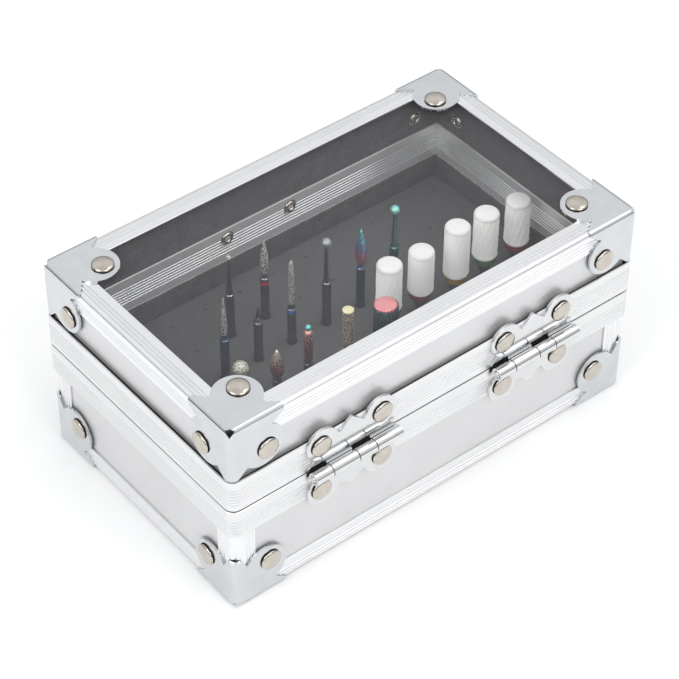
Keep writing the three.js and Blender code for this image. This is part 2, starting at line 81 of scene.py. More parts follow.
RECTANGLE = ((-1, -1), (1, -1), (1, 1), (-1, 1))
SIDES = {  # the two corners of each wall
    "back": [(1, 1), (-1, 1)],
    "front": [(-1, -1), (1, -1)],
    "left": [(-1, 1), (-1, -1)],
    "right": [(1, -1), (1, 1)],
}
ENDS = (("left", -1), ("right", 1))
CORNERS = {
    "back_left": (-1, 1),
    "back_right": (1, 1),
    "front_left": (-1, -1),
    "front_right": (1, -1),
}


# ---- materials ----
def wire(node, **inputs):
    """Links or sets a node's inputs. In their names, _ stands for a space."""
    for name, value in inputs.items():
        socket = node.inputs[name.replace("_", " ")]
        if isinstance(value, bpy.types.NodeSocket):
            node.id_data.links.new(value, socket)
        else:
            socket.default_value = value
    return node


def add(tree, kind, **inputs):
    """A new shader node, its inputs wired."""
    return wire(tree.nodes.new(f"ShaderNode{kind}"), **inputs)


def new_material(name):
    """A node material, its node tree and its shader."""
    made = bpy.data.materials.new(name)
    made.use_nodes = True
    tree = made.node_tree
    return made, tree, tree.nodes["Principled BSDF"]


def mapped_noise(tree, density, detail=3.0):
    """Noise in object space. density is features per millimetre, one number or one for each axis."""
    densities = density if isinstance(density, (list, tuple)) else [density] * 3
    place = add(tree, "TexCoord").outputs["Object"]
    mapping = add(tree, "Mapping", Vector=place, Scale=[one / MM for one in densities])
    noise = add(tree, "TexNoise", Vector=mapping.outputs["Vector"], Scale=1.0, Detail=detail)
    return noise.outputs["Fac"]


def ramp(tree, factor, stops):
    """A colour ramp over factor, from (position, colour) stops."""
    node = add(tree, "ValToRGB", Fac=factor)
    elements = node.color_ramp.elements
    while len(elements) < len(stops):
        elements.new(0.5)
    for element, (position, color) in zip(elements, stops):
        element.position = position
        element.color = (*color, 1)
    return node.outputs["Color"]


def span(tree, factor, low, high):
    """Carries a factor from 0 to 1 over to low to high."""
    return add(tree, "MapRange", Value=factor, To_Min=low, To_Max=high).outputs["Result"]


def bump(tree, shader, height, distance):
    """Relief in the shading, distance millimetres high."""
    relief = add(tree, "Bump", Height=height, Strength=1.0, Distance=distance * MM)
    wire(shader, Normal=relief.outputs["Normal"])


def finish(name, color, tint, roughness, metallic=0.0, grain=1.0, depth=0.01, mottle=0.4):
    """A mottled surface: color and tint mix, roughness varies and the grain stands a little proud.

    grain and mottle are features per millimetre, depth is the grain's height.
    """
    made, tree, shader = new_material(name)
    broad = mapped_noise(tree, mottle)
    fine = mapped_noise(tree, grain, 4.0)
    wire(shader, Metallic=metallic, Base_Color=ramp(tree, broad, [(0.3, color), (0.7, tint)]),
         Roughness=span(tree, fine, *roughness))
    bump(tree, shader, fine, depth)
    return made


def brushed(name, along, color, tint, metallic=1.0):
    """Satin aluminium with fine lines that run along one axis, 0 for X, 1 for Y and 2 for Z."""
    grain = [0.9, 0.9, 0.9]
    grain[along] = 0.02
    return finish(name, color, tint, (0.285, 0.33), metallic, grain, depth=0.003, mottle=0.05)


ANODISED = (0.86, 0.865, 0.87)
ANODISED_TINT = (0.82, 0.825, 0.835)
anodised = [brushed(f"anodised_{axis}", k, ANODISED, ANODISED_TINT) for k, axis in enumerate("xyz")]
rim_metal = brushed("rim_metal", 0, (0.785, 0.79, 0.795), (0.745, 0.75, 0.76), metallic=0.6)
# Painted shade: darker copies of the satin metal for the sides and floors of the grooves, the pale one for
# the short sides.
groove_shade = brushed("groove_shade", 0, (0.56, 0.565, 0.575), (0.50, 0.505, 0.515))
pale_groove_shade = brushed("pale_groove_shade", 1, (0.76, 0.765, 0.775), (0.70, 0.705, 0.715))
board_skin = finish("board_skin", (0.705, 0.705, 0.71), (0.675, 0.675, 0.68), (0.36, 0.46),
                    metallic=0.55, grain=3, depth=0.006, mottle=0.08)
cap_chrome = finish("cap_chrome", (0.655, 0.67, 0.685), (0.61, 0.625, 0.64), (0.11, 0.16),
                    metallic=1.0, grain=0.5, depth=0.012, mottle=0.2)
bright_chrome = finish("bright_chrome", (0.73, 0.735, 0.74), (0.68, 0.685, 0.69), (0.10, 0.14),
                       metallic=1.0, grain=0.7, depth=0.008, mottle=0.3)
warm_nickel = finish("warm_nickel", (0.60, 0.56, 0.505), (0.53, 0.485, 0.43), (0.12, 0.24),
                     metallic=1.0, grain=2.5, depth=0.02, mottle=0.6)
# Painted shade: near black, for the slots, gaps and rivet necks where the case shows shade.
painted_gap_shade = finish("painted_gap_shade", (0.012, 0.012, 0.014), (0.02, 0.02, 0.022), (0.7, 0.9), grain=2)
foam_grey = finish("foam_grey", (0.102, 0.102, 0.108), (0.118, 0.118, 0.125), (0.88, 1.0),
                   grain=5, depth=0.04, mottle=0.8)
lining_grey = finish("lining_grey", (0.071, 0.071, 0.076), (0.093, 0.093, 0.099), (0.85, 1.0),
                     grain=2.5, depth=0.005, mottle=0.3)


def coated_steel(name, color, tint, low_roughness=0.285):
    """The thin coloured coating on a ground shank, its grain drawn out along the shank."""
    return finish(name, color, tint, (low_roughness, 0.32), metallic=1.0, grain=(0.8, 0.8, 0.3),
                  depth=0.002, mottle=0.15)


dark_steel = coated_steel("dark_steel", (0.23, 0.235, 0.27), (0.29, 0.30, 0.35), 0.28)
blue_steel = coated_steel("blue_steel", (0.15, 0.18, 0.30), (0.19, 0.25, 0.40))
teal_steel = coated_steel("teal_steel", (0.07, 0.17, 0.19), (0.13, 0.27, 0.27))


def zirconia(name, color, tint):
    """Sintered white ceramic."""
    return finish(name, color, tint, (0.4, 0.55), grain=4, depth=0.01, mottle=0.3)


white_ceramic = zirconia("white_ceramic", (0.97, 0.965, 0.95), (0.95, 0.945, 0.93))
# Painted light: the white ceramic glows faintly, to lift the drums' shaded sides. Zirconia's real
# translucency is not drawn.
wire(white_ceramic.node_tree.nodes["Principled BSDF"], Emission_Color=(1.0, 0.99, 0.96, 1),
     Emission_Strength=0.14)
# Painted shade: the drums' tops take a darker copy of the white ceramic, to even them with the shaded
# sides.
ceramic_top_shaded = zirconia("ceramic_top_shaded", (0.83, 0.825, 0.81), (0.79, 0.785, 0.77))


def enamel(name, color):
    """A painted band or cap of one colour."""
    darker = [c * 0.8 for c in color]
    return finish(name, color, darker, (0.3, 0.45), grain=3, depth=0.01, mottle=0.5)


GRIT_DENSITY = 4.2  # grains per millimetre
BLOTCH = 0.8  # how far a coating's colours wander into each other


def grit(name, low, high):
    """Diamond grit: fine bright and dark grains bonded to the metal."""
    made, tree, shader = new_material(name)
    grains = mapped_noise(tree, GRIT_DENSITY, 1.0)
    wire(shader, Metallic=0.6, Base_Color=ramp(tree, grains, [(0.44, low), (0.56, high)]),
         Roughness=span(tree, grains, 0.6, 0.3))
    bump(tree, shader, grains, 0.2)
    return made


def banded(name, low_z, high_z, stops, grain=5.0):
    """A coloured coating that changes from low_z to high_z, as heat-tinted titanium does."""
    made, tree, shader = new_material(name)
    axes = add(tree, "SeparateXYZ", Vector=add(tree, "TexCoord").outputs["Object"])
    height = add(tree, "MapRange", Value=axes.outputs["Z"], From_Min=low_z * MM, From_Max=high_z * MM)
    grains = mapped_noise(tree, grain, 2.0)
    shifted = add(tree, "Math")
    shifted.operation = "ADD"
    tree.links.new(height.outputs["Result"], shifted.inputs[0])
    tree.links.new(span(tree, grains, -BLOTCH, BLOTCH), shifted.inputs[1])
    wire(shader, Metallic=0.75, Base_Color=ramp(tree, shifted.outputs["Value"], stops),
         Roughness=span(tree, grains, 0.2, 0.5))
    bump(tree, shader, grains, 0.08)
    return made


# The window's thin clear plastic: its gloss shows, and very little of its body.
window_clear, tree, shader = new_material("clear_sheet")
wire(shader, Base_Color=(0.80, 0.81, 0.83, 1), Alpha=0.03, Roughness=0.06)
bump(tree, shader, mapped_noise(tree, 0.05), 0.02)


# ---- solids: (points, faces, slots), in millimetres, slots one material number for each face ----
def solid(points, faces):
    """A solid whose faces all take the first material."""
    return [list(p) for p in points], [list(f) for f in faces], [0] * len(faces)


def merged(*solids):
    """Several solids as one."""
    points, faces, slots = [], [], []
    for some_points, some_faces, some_slots in solids:
        first = len(points)
        points += some_points
        faces += [[first + k for k in face] for face in some_faces]
        slots += some_slots
    return points, faces, slots


def placed(shape, matrix):
    """A solid moved by a matrix."""
    points, faces, slots = shape
    return [list(matrix @ Vector(p)) for p in points], faces, slots


def marked(profile):
    """Splits (a, b) or (a, b, slot) points into plain points and the slot of the face after each."""
    return [point[:2] for point in profile], [point[2] if len(point) > 2 else 0 for point in profile]


def turned(profile, sides, shape=None):
    """Turns (radius, z) or (radius, z, slot) points round Z. shape(radius, z, angle) gives a new radius."""
    points, faces, slots, rings = [], [], [], []
    for radius, z, *_ in profile:
        if radius < 1e-6:
            rings.append([len(points)] * sides)
            points.append([0, 0, z])
            continue
        rings.append([len(points) + k for k in range(sides)])
        for k in range(sides):
            angle = 2 * math.pi * k / sides
            reach = shape(radius, z, angle) if shape else radius
            points.append([reach * math.cos(angle), reach * math.sin(angle), z])
    _, marks = marked(profile)
    for below, above, slot in zip(rings, rings[1:], marks):
        for k in range(sides):
            after = (k + 1) % sides
            face = list(dict.fromkeys([below[k], below[after], above[after], above[k]]))
            if len(face) > 2:
                faces.append(face)
                slots.append(slot)
    return points, faces, slots


def arc(centre, radius, start, end, steps):
    """Points on a circle, start and end in degrees."""
    turns = [math.radians(start + (end - start) * k / steps) for k in range(steps + 1)]
    return [(centre[0] + radius * math.cos(t), centre[1] + radius * math.sin(t)) for t in turns]


def inside(point, outline):
    """Whether a 2D point lies within a closed outline."""
    within = False
    for (ax, ay), (bx, by) in zip(outline, outline[1:] + outline[:1]):
        if (ay > point.y) != (by > point.y) and point.x < ax + (bx - ax) * (point.y - ay) / (by - ay):
            within = not within
    return within


def filled(outline, holes=(), lines=()):
    """Triangles over a 2D outline, less its holes. lines are extra pairs of points to keep as edges."""
    points, edges = [], []
    for loop in [outline, *holes]:
        first = len(points)
        points += [Vector(p) for p in loop]
        edges += [(first + k, first + (k + 1) % len(loop)) for k in range(len(loop))]
    for line in lines:
        edges.append((len(points), len(points) + 1))
        points += [Vector(p) for p in line]
    flat, _, triangles, *_ = delaunay_2d_cdt(points, edges, [], 1, 1e-5)
    kept = []
    for face in triangles:
        middle = sum((flat[k] for k in face), Vector((0, 0))) / 3
        if inside(middle, outline) and not any(inside(middle, hole) for hole in holes):
            kept.append(tuple(face))
    return [tuple(p) for p in flat], kept


def sheet(outline, thickness, shape, lines=()):
    """An outline given thickness. shape(u, v, depth) says where each point goes in 3D."""
    flat, triangles = filled(outline, lines=lines)
    used = sorted({k for face in triangles for k in face})
    index = {k: n for n, k in enumerate(used)}
    count = len(used)
    points = [shape(*flat[k], depth) for depth in (0, thickness) for k in used]
    faces, edges = [], {}
    for face in triangles:
        loop = [index[k] for k in face]
        faces += [loop, [k + count for k in reversed(loop)]]
        edges.update(dict.fromkeys(zip(loop, loop[1:] + loop[:1])))
    faces += [[b, a, a + count, b + count] for a, b in edges if (b, a) not in edges]
    return solid(points, faces)


def block(low, high):
    """A box between two corners."""
    points = [[x, y, z] for x in (low[0], high[0]) for y in (low[1], high[1]) for z in (low[2], high[2])]
    faces = [[0, 1, 3, 2], [4, 6, 7, 5], [0, 4, 5, 1], [2, 3, 7, 6], [0, 2, 6, 4], [1, 5, 7, 3]]
    return solid(points, faces)


def wall_point(inset, z, corner):
    """A point at one corner of the case, inset millimetres in from both its faces."""
    return [corner[0] * (HALF_X - inset), corner[1] * (HALF_Y - inset), z]


def skirt(count):
    """The faces between one loop of count points and the next."""
    return [[k, (k + 1) % count, (k + 1) % count + count, k + count] for k in range(count)]


def closed_band(rings, count):
    """The faces between rings of count points, the last ring joined to the first."""
    faces = []
    for r in range(rings):
        after = (r + 1) % rings
        for k in range(count):
            m = (k + 1) % count
            faces.append([r * count + k, after * count + k, after * count + m, r * count + m])
    return faces


def wall_length(profile, side, trim):
    """A profile along one side of the case, each end trimmed where a cap covers it."""
    along = 0 if side in ("back", "front") else 1
    profile, marks = marked(profile)
    count = len(profile)
    points = []
    for corner in SIDES[side]:
        for inset, z in profile:
            point = wall_point(inset, z, corner)
            point[along] -= math.copysign(trim, point[along])
            points.append(point)
    faces = skirt(count)
    flat, triangles = filled(profile)
    near = [min(range(count), key=lambda k: (Vector(profile[k]) - Vector(p)).length) for p in flat]
    for triangle in triangles:
        end = [near[k] for k in triangle]
        faces += [end, [k + count for k in reversed(end)]]
    return points, faces, marks + [0] * (len(faces) - count)


def wall_ring(profile, corner_radius):
    """A profile carried round the case, its corners rounded."""
    steps = 6
    profile, marks = marked(profile)
    rings = []
    for sx, sy, start in ((1, 1, 0), (-1, 1, 90), (-1, -1, 180), (1, -1, 270)):
        for k in range(steps + 1):
            turn = math.radians(start + 90 * k / steps)
            ring = []
            for inset, z in profile:
                radius = max(corner_radius - inset, 0.0)
                reach = max(corner_radius, inset)
                ring.append([sx * (HALF_X - reach) + radius * math.cos(turn),
                             sy * (HALF_Y - reach) + radius * math.sin(turn), z])
            rings.append(ring)
    points = [point for ring in rings for point in ring]
    return points, closed_band(len(rings), len(profile)), marks * len(rings)


SHARP_ANGLE = math.radians(38)  # edges sharper than this are shaded as edges
BEVEL_ANGLE = math.radians(50)  # and sharper than this are bevelled
WELD = 0.002  # points nearer than this are joined
SLIVER = 0.001  # and edges shorter than this are removed


def piece(name, shape, materials, body, replaces=(), bevel=0.0):
    """Makes an object of a solid and puts it on a body. bevel rounds its sharp edges."""
    points, faces, slots = shape
    mesh = bpy.data.meshes.new(name)
    work = bmesh.new()
    vertices = [work.verts.new([c * MM for c in p]) for p in points]
    for face, number in zip(faces, slots):
        corners = [vertices[k] for k in face]
        if len(set(corners)) == len(corners) and not work.faces.get(corners):
            work.faces.new(corners).material_index = number
    bmesh.ops.remove_doubles(work, verts=work.verts, dist=WELD * MM)
    bmesh.ops.dissolve_degenerate(work, edges=work.edges, dist=SLIVER * MM)
    bmesh.ops.recalc_face_normals(work, faces=work.faces)
    work.to_mesh(mesh)
    work.free()
    for one in materials if isinstance(materials, list) else [materials]:
        mesh.materials.append(one)
    made = bpy.data.objects.new(name, mesh)
    scene.collection.objects.link(made)
    mesh.polygons.foreach_set("use_smooth", [True] * len(mesh.polygons))
    mesh.set_sharp_from_angle(angle=SHARP_ANGLE)
    if bevel:
        rounding = made.modifiers.new("rounding", "BEVEL")
        rounding.width = bevel * MM
        rounding.segments = 2
        rounding.limit_method = "ANGLE"
        rounding.angle_limit = BEVEL_ANGLE
        weighted = made.modifiers.new("shading", "WEIGHTED_NORMAL")
        weighted.keep_sharp = True
    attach(made, body)
    if replaces:
        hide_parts(*replaces)
    return made


def stood(shape, origin, normal):
    """A solid stood at the origin, its Z along the normal and its Y as near upright as it can be."""
    z = Vector(normal).normalized()
    x = Vector((0, 0, 1)).cross(z)
    x = x.normalized() if x.length > 1e-6 else Vector((1, 0, 0))
    y = z.cross(x)
    turn = Matrix((x, y, z)).transposed().to_4x4()
    return placed(shape, Matrix.Translation(Vector(origin)) @ turn)


# ---- angle extrusions ----
GROOVE_WIDTH = 0.42
GROOVE_DEPTH = 0.2
EDGE_BREAK = 0.12  # chamfer on the extrusions' free edges
EDGE_ROUND = 1.1
EDGE_FLAT = 6.45  # inner edge of the flat flange, from the outer plane
EDGE_TRIM = 3.0  # how far the lengths stop short of the corners
TOP_GROOVES = (2.05, 3.05, 4.0)  # from the outer plane
LID_SIDE = (7.0, (3.2, 4.25, 5.2))  # lower edge of the side flange and its grooves
BASE_SIDE = (6.5, (1.85, 2.75, 4.0))


def grooves(centres, level, flip=False):
    """(along, across, slot) points of small grooves in a flat face at the level.

    Slot 1 marks the side and floor of a groove, which take a painted shade.
    """
    half = GROOVE_WIDTH / 2
    shares = [(-1, 0), (-0.6, 0.75), (0, 1), (0.6, 0.75), (1, 0)]
    points = [(c + half * a, level + GROOVE_DEPTH * b) for c in sorted(centres) for a, b in shares]
    shades = (0, 1, 1, 0, 0)
    return [(*point, shades[k % 5]) for k, point in enumerate(points[::-1] if flip else points)]


def edge_profile(is_lid):
    """The angle along an outer edge: a grooved side flange, a round corner and a grooved flat flange."""
    reach, side_grooves = LID_SIDE if is_lid else BASE_SIDE
    inner = SHEET + EDGE_WALL
    outer = [(inner, reach), (SHEET + EDGE_BREAK, reach), (SHEET, reach - EDGE_BREAK)]
    outer += [(across, along, shade) for along, across, shade in grooves(side_grooves, SHEET, True)]
    centre = SHEET + EDGE_ROUND
    outer += arc((centre, centre), EDGE_ROUND, 180, 270, 6)
    outer += grooves(TOP_GROOVES, SHEET)
    outer += [(EDGE_FLAT - EDGE_BREAK, SHEET), (EDGE_FLAT, SHEET + EDGE_BREAK), (EDGE_FLAT, inner)]
    outer += [(inner + 1, inner), (inner, inner + 1)]
    return [(inset, HEIGHT - depth if is_lid else depth, *shade) for inset, depth, *shade in outer]


for side in SIDES:
    metals = [anodised[0], groove_shade] if side in ("back", "front") else [anodised[1], pale_groove_shade]
    for part in ("lid", "base"):
        name = f"{part}_edge_{side}"
        length = wall_length(edge_profile(part == "lid"), side, EDGE_TRIM)
        piece(f"{name}_extrusion", length, metals, part, [name])

# ---- rims ----
RIM_CORNER = 2.4
REBATE = 1.0  # step in the base rim that holds a dark strip of painted shade at the parting line
REBATE_DEPTH = 0.27
LIP = 0.5  # thickness of the rims' outer lip
LIP_ROUND = ((0, 0.3), (0.1, 0.06), (0.25, 0))  # how the lip's end rounds off
REED_FLOOR = 0.4  # share of a reed's width that is flat at the bottom
SLOT_PLAY = 0.05  # between the rims and the inner face of the boards
INNER_EASE = 0.1  # rounding of the rims' inner edge
LID_LIP_TOP = 42.9
BASE_LIP_BOTTOM = 24.6
LID_REEDS = (35.4, 36.4, 37.35, 38.3, 39.25, 40.2)
BASE_REEDS = (24.9, 26.0, 26.95, 27.85, 28.75, 29.75)
INNER_REEDS = (36.2, 37.1, 38.0, 38.9, 39.8, 40.7)


def reed_line(inset, heights, deeper, sign):
    """Grooves in an upright face. deeper is the way into the metal and sign the way along z."""
    half = sign * GROOVE_WIDTH / 2
    floor = inset + deeper * GROOVE_DEPTH
    points = []
    for z in heights:
        # Slot 1 gives each groove's floor a painted shade.
        points += [(inset, z - half), (floor, z - half * REED_FLOOR, 1),
                   (floor, z + half * REED_FLOOR), (inset, z + half)]
    return points


def rim_profile(meeting, lip_end, inner_end, slot_end, reeds, inner_reeds, rising):
    """The meeting face, the outer face with its reeds, the slot for the boards and the inner face."""
    sign = 1 if rising else -1
    chamfer = 0.15 if rising else 0.4
    kept = [z for z in sorted(reeds, reverse=not rising) if (lip_end - z) * sign > GROOVE_WIDTH]
    outside = [(-RIM_PROUD, meeting + sign * chamfer), *reed_line(-RIM_PROUD, kept, 1, sign),
               *((-RIM_PROUD + inwards, lip_end - sign * back) for inwards, back in LIP_ROUND)]
    slot = [(-RIM_PROUD + LIP, lip_end - sign * 0.05), (-RIM_PROUD + LIP, slot_end),
            (BOARD_IN + SLOT_PLAY, slot_end), (BOARD_IN + SLOT_PLAY, inner_end - sign * INNER_EASE),
            (BOARD_IN + SLOT_PLAY + INNER_EASE, inner_end)]
    kept = [z for z in sorted(inner_reeds, reverse=rising) if (inner_end - z) * sign > 2 * GROOVE_WIDTH]
    within = [(RIM_INNER - INNER_EASE, inner_end), (RIM_INNER, inner_end - sign * INNER_EASE),
              *reed_line(RIM_INNER, kept, -1, -sign), (RIM_INNER, meeting + sign * 0.04),
              (RIM_INNER - 0.04, meeting)]
    outer_edge = -RIM_PROUD + 0.15
    if rising:
        return outside + slot + within + [(outer_edge, meeting)]
    return outside + slot + within + [(REBATE, meeting), (REBATE, meeting - REBATE_DEPTH),
                                      (outer_edge, meeting - REBATE_DEPTH)]


rim_profiles = {
    "lid": rim_profile(LID_MEETING, LID_LIP_TOP, LID_INNER_TOP, LID_BOARD_FOOT - 0.1, LID_REEDS,
                       INNER_REEDS, True),
    "base": rim_profile(BASE_MEETING, BASE_LIP_BOTTOM, BASE_LIP_BOTTOM, BASE_BOARD_TOP + 0.1,
                        BASE_REEDS, (), False),
}
for part, profile in rim_profiles.items():
    piece(f"{part}_rim_extrusion", wall_ring(profile, RIM_CORNER), [rim_metal, groove_shade], part,
          [f"{part}_rim"])


def band(outer, inner, low, high):
    """The profile of a plain ring between two insets and two heights."""
    return [(outer, low), (inner, low), (inner, high), (outer, high)]


# Painted shade: a dark band fills the slot between each rim's lip and the boards, where the slot shows
# shade.
for part, low, high in (("lid", LID_BOARD_FOOT - 0.05, LID_LIP_TOP - 0.7),
                        ("base", BASE_LIP_BOTTOM + 0.7, BASE_BOARD_TOP + 0.05)):
    slot_shade = band(-RIM_PROUD + LIP + 0.02, BOARD_OUT - 0.02, low, high)
    piece(f"{part}_rim_slot_shade", wall_ring(slot_shade, RIM_CORNER), painted_gap_shade, part)

# Painted shade: a dark strip in the rebate darkens the parting gap between the rims.
parting_shade = band(-0.05, REBATE - 0.05, BASE_MEETING - 0.35, LID_MEETING - 0.04)
piece("base_rim_parting_shade", wall_ring(parting_shade, RIM_CORNER), painted_gap_shade, "base")


# ---- boards: the CAD solids, with their own finish ----
def refinish(word, material):
    """Gives the CAD solids that have the word in their names, and stay visible, a better material."""
    for name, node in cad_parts.items():
        if word in name:
            node.data.materials.clear()
            node.data.materials.append(material)


refinish("_board", board_skin)

# ---- corner posts ----
POST_FLANGE = 7.0
POST_ROUND = 2.4
POST_GROOVES = (4.3, 5.2, 6.1)
POST_LOW = 6.0
POST_HIGH = BASE_LIP_BOTTOM + 0.9


def corner_post(corner):
    """An angle that stands at a corner of the base, its flanges grooved and its corner round."""
    inner = SHEET + EDGE_WALL
    centre = SHEET + POST_ROUND
    chamfer = 0.1
    outline = [(POST_FLANGE, inner), (POST_FLANGE, SHEET + chamfer), (POST_FLANGE - chamfer, SHEET)]
    outline += marked(grooves(POST_GROOVES, SHEET, True))[0]
    outline += arc((centre, centre), POST_ROUND, 270, 180, 8)
    outline += [(across, along) for along, across, _ in grooves(POST_GROOVES, SHEET)]
    outline += [(SHEET, POST_FLANGE - chamfer), (SHEET + chamfer, POST_FLANGE), (inner, POST_FLANGE)]
    outline += arc((centre, centre), POST_ROUND - EDGE_WALL, 180, 270, 6)
    return sheet(outline, POST_HIGH - POST_LOW, lambda u, v, depth: (
        corner[0] * (HALF_X - u), corner[1] * (HALF_Y - v), POST_HIGH - depth))


for name, corner in CORNERS.items():
    piece(f"corner_post_{name}_angle", corner_post(corner), anodised[2], "base",
          [f"corner_post_{name}"])

# ---- rivets ----
RIVET_R = 2.85
RIVET_H = 1.12
NECK_BASE = -0.25  # the neck starts below the surface that the rivet holds
NECK_TOP = 0.26
BRIM_TOP = 0.36


def rivet_head():
    """A low dome that stands on a narrower neck, dark with painted shade under the dome's edge. Its foot is
    on z = 0.
    """
    neck = RIVET_R * 0.92
    dome = [(RIVET_R * math.cos(t), BRIM_TOP + (RIVET_H - BRIM_TOP) * math.sin(t), 0)
            for t in (math.radians(90 * k / 8) for k in range(8))]
    return turned([(0, NECK_BASE, 1), (neck, NECK_BASE, 1), (neck, NECK_TOP, 1),
                   (RIVET_R, NECK_TOP + 0.02, 0), *dome, (0, RIVET_H, 0)], 40)


def rivet_tail():
    """The rolled ring of a hollow rivet, its foot on z = 0."""
    bore, roll, height = 0.7, 0.55, 0.5
    flange, hollow, foot = 2.0, -0.3, -0.35
    ring = [(bore + roll * (1 - math.cos(math.radians(a))), height * math.sin(math.radians(a)))
            for a in range(0, 181, 30)]
    return turned([(0, hollow), (bore, hollow), *ring, (flange, 0.0), (flange, -0.2), (0, foot)], 28)


def rivet(name, origin, normal, body, tail=None):
    """A head at the origin and, where tail gives a depth behind it, the rolled tail inside the case."""
    piece(f"{name}_rivet", stood(rivet_head(), origin, normal), [warm_nickel, painted_gap_shade], body)
    if tail:
        behind = Vector(origin) - Vector(normal) * tail
        inwards = [-c for c in normal]
        piece(f"{name}_rivet_tail", stood(rivet_tail(), behind, inwards), warm_nickel, body)


# ---- corner caps ----
LOBE_C = 9.4  # middle of the round lobe, from both edges
LOBE_R = 6.1
CAP_REACH = 15.6  # length of the wings
CAP_TIP = 1.4  # width of the wings at their tips
CAP_UPRIGHT_TIP = 2.6
CAP_CHAMFER = (0.4, 0.3)  # across and along the tips
LID_CAP_DROP = 16.1  # how far the lid caps reach down
CAP_NOTCH = (12.4, 3.4)  # where a level wing's notch ends on the lobe
LID_NOTCH = (13.6, 4.9)  # the same beside the upright wings
BASE_NOTCH = (12.6, 3.8)
CAP_HOLE = 2.1  # how much of each face the hole at the vertex takes
RIVET_C = 10.8  # rivets, from both edges
UPRIGHT_FOLD = 2.0  # fold radii
LEVEL_FOLD = 1.5
FOLD_REACH = 20  # longer than any face of a cap
CAP_BEVEL = 0.18


def cap_outline(tip_v, notch_v, drop=CAP_REACH):
    """One face of a cap: a wing along each edge, a lobe and a cut at the corner for the hole."""
    start, end = (math.degrees(math.atan2(across - LOBE_C, along - LOBE_C))
                  for along, across in (CAP_NOTCH, notch_v))
    lobe = arc((LOBE_C, LOBE_C), LOBE_R, start, 90 - end, 40)
    return [(CAP_HOLE, 0), (CAP_REACH, 0), (CAP_REACH, CAP_TIP), *lobe,
            (tip_v, drop - CAP_CHAMFER[1]), (tip_v - CAP_CHAMFER[0], drop), (0, drop), (0, CAP_HOLE)]


def folded(u, v, w, depth):
    """A point of a sharp box corner, moved to the sheet's folded surface. u, v and w are distances from
    the three faces, w downwards, and depth is how far the point lies inside the sheet."""
    wall = min(u, v)
    lean, drop = max(LEVEL_FOLD - wall, 0), max(LEVEL_FOLD - w, 0)
    reach = math.hypot(lean, drop)
    inset, level = wall, w
    if reach > 0:
        radius = LEVEL_FOLD - depth
        inset = max(wall, LEVEL_FOLD) - radius * lean / reach
        level = max(w, LEVEL_FOLD) - radius * drop / reach
    side = Vector((max(UPRIGHT_FOLD - u, 0), max(UPRIGHT_FOLD - v, 0)))
    if side.length < 1e-9:
        return u, v, level
    centre = Vector((max(u, UPRIGHT_FOLD), max(v, UPRIGHT_FOLD)))
    plan = centre - side.normalized() * (UPRIGHT_FOLD - inset)
    return plan.x, plan.y, level


def corner_cap(corner, is_lid):
    """A pressed cap: a level face and two upright faces, folded from one sheet."""
    folds = [UPRIGHT_FOLD * k / 6 for k in range(1, 7)] + [LEVEL_FOLD * k / 4 for k in range(1, 5)]
    fold_lines = []
    for at in folds:
        fold_lines += [((at, 0), (at, FOLD_REACH)), ((0, at), (FOLD_REACH, at))]
    level = cap_outline(CAP_TIP, CAP_NOTCH)
    upright = (cap_outline(CAP_UPRIGHT_TIP, LID_NOTCH, LID_CAP_DROP) if is_lid
               else cap_outline(CAP_UPRIGHT_TIP, BASE_NOTCH))
    leaves = []
    for outline, face in ((level, lambda a, b: (a, b, 0)), (upright, lambda a, b: (a, 0, b)),
                          (upright, lambda a, b: (0, a, b))):
        leaves.append(sheet(outline, SHEET, lambda a, b, depth: folded(*face(a, b), depth),
                            lines=fold_lines))
    points, faces, slots = merged(*leaves)
    points = [[corner[0] * (HALF_X - x), corner[1] * (HALF_Y - y), HEIGHT - z if is_lid else z]
              for x, y, z in points]
    return points, faces, slots


def without_inner_walls(shape):
    """Removes the pairs of faces where two leaves of a cap meet."""
    points, faces, slots = shape
    keys = [frozenset(tuple(round(c, 3) for c in points[k]) for k in face) for face in faces]
    counts = Counter(keys)
    kept = [k for k, key in enumerate(keys) if counts[key] == 1]
    return points, [faces[k] for k in kept], [slots[k] for k in kept]


for name, (sx, sy) in CORNERS.items():
    for part in ("lid", "base"):
        is_lid = part == "lid"
        cap = f"{part}_cap_{name}"
        shape = without_inner_walls(corner_cap((sx, sy), is_lid))
        piece(f"{cap}_shell", shape, cap_chrome, part, [cap], CAP_BEVEL)
        z = HEIGHT - RIVET_C if is_lid else RIVET_C
        tail = BOARD_IN + 0.5 if is_lid else None
        rivet(f"{cap}_end", (sx * HALF_X, sy * (HALF_Y - RIVET_C), z), (sx, 0, 0), part, tail)
        rivet(f"{cap}_side", (sx * (HALF_X - RIVET_C), sy * HALF_Y, z), (0, sy, 0), part, tail)
        if is_lid:
            rivet(f"{cap}_top", (sx * (HALF_X - RIVET_C), sy * (HALF_Y - RIVET_C), HEIGHT),
                  (0, 0, 1), part, HEIGHT - WINDOW_LOW)

# ---- window and linings ----
low, high = node_box("window")
piece("window_sheet", block(low, high), window_clear, "lid", ["window"], 0.15)

CLOTH = 0.45  # thickness of the linings
LINING_STEPS = 60  # along each wall
BASE_WOBBLE = 0.3  # how uneven the cut edge of the base lining is


def lining(outer, low, high, wobble):
    """A thin cloth band round the inside. Its upper edge is uneven by up to wobble."""
    loops = [[wall_point(inset, 0, corner)[:2] for corner in ((1, 1), (-1, 1), (-1, -1), (1, -1))]
             for inset in (outer, outer + CLOTH)]
    points = []
    for wall in range(4):
        for k in range(LINING_STEPS):
            t = k / LINING_STEPS
            top = high - rng.uniform(0, wobble)
            outside, within = ([a + (b - a) * t for a, b in zip(loop[wall], loop[(wall + 1) % 4])]
                               for loop in loops)
            points += [[*outside, low], [*outside, top], [*within, top], [*within, low]]
    return solid(points, closed_band(4 * LINING_STEPS, 4))


